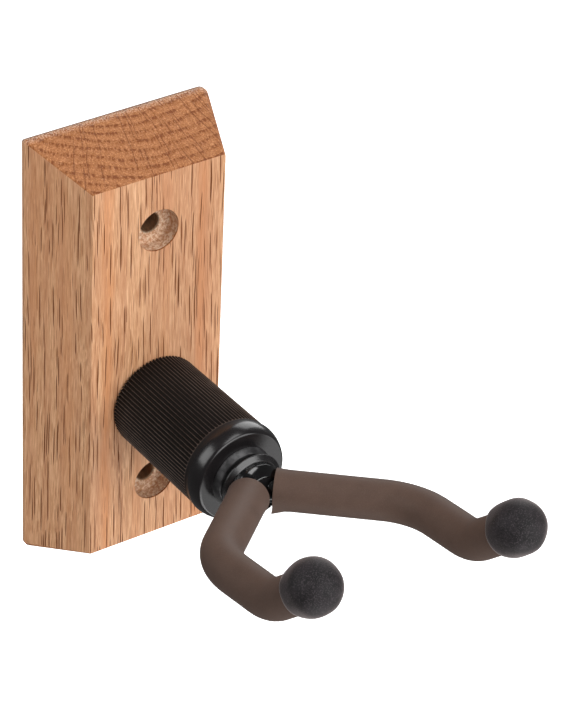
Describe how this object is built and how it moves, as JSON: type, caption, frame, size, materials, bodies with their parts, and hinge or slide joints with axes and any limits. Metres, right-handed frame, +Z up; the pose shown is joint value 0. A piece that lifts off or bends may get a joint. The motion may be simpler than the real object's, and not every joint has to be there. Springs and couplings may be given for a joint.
{
  "type": "wall guitar hanger",
  "caption": "Bevelled oak block with screw holes, a ribbed barrel standing out of it, and a swivelling yoke with rubber-sleeved arms and bulb tips.",
  "frame": {"origin": "centre of the oak block's back face, the face that lies on the wall", "axes": "+Z up, +Y into the wall, so the hanger stands out towards -Y; +X to the right for someone who faces the wall"},
  "size_m": [0.0828, 0.1565, 0.14],
  "materials": {
    "oak": "satin lacquer over open-grained red oak",
    "barrel_plastic": "moulded, straight ribs, smooth satin collar",
    "satin_black": "satin blackened steel",
    "gloss_black": "gloss black",
    "zinc_steel": "zinc plated",
    "brass": "machined",
    "black_nylon": "smooth nylon",
    "white_nylon": "smooth nylon",
    "sleeve_rubber": "matte taupe surgical tubing",
    "tip_rubber": "matte charcoal rubber, finely mottled"
  },
  "bodies": {
    "base": {"wood_base": "oak", "base_bolt": "zinc_steel", "base_spring_washer": "zinc_steel", "base_washer": "zinc_steel", "barrel": "barrel_plastic", "barrel_insert": "brass", "front_bush": "satin_black"},
    "yoke": {"swivel_stem": "gloss_black", "slip_washer": "black_nylon", "thrust_washer": "zinc_steel", "disc_spring": "zinc_steel", "lock_nut": "zinc_steel", "lock_nut_ring": "white_nylon", "left_rod": "gloss_black", "right_rod": "gloss_black", "left_sleeve": "sleeve_rubber", "right_sleeve": "sleeve_rubber", "left_tip": "tip_rubber", "right_tip": "tip_rubber"}
  },
  "joints": [
    {"name": "yoke_swivel", "type": "hinge", "parent": "base", "child": "yoke", "pos_m": [0, -0.0749, -0.014], "axis": [0, -1, 0], "continuous": true}
  ]
}
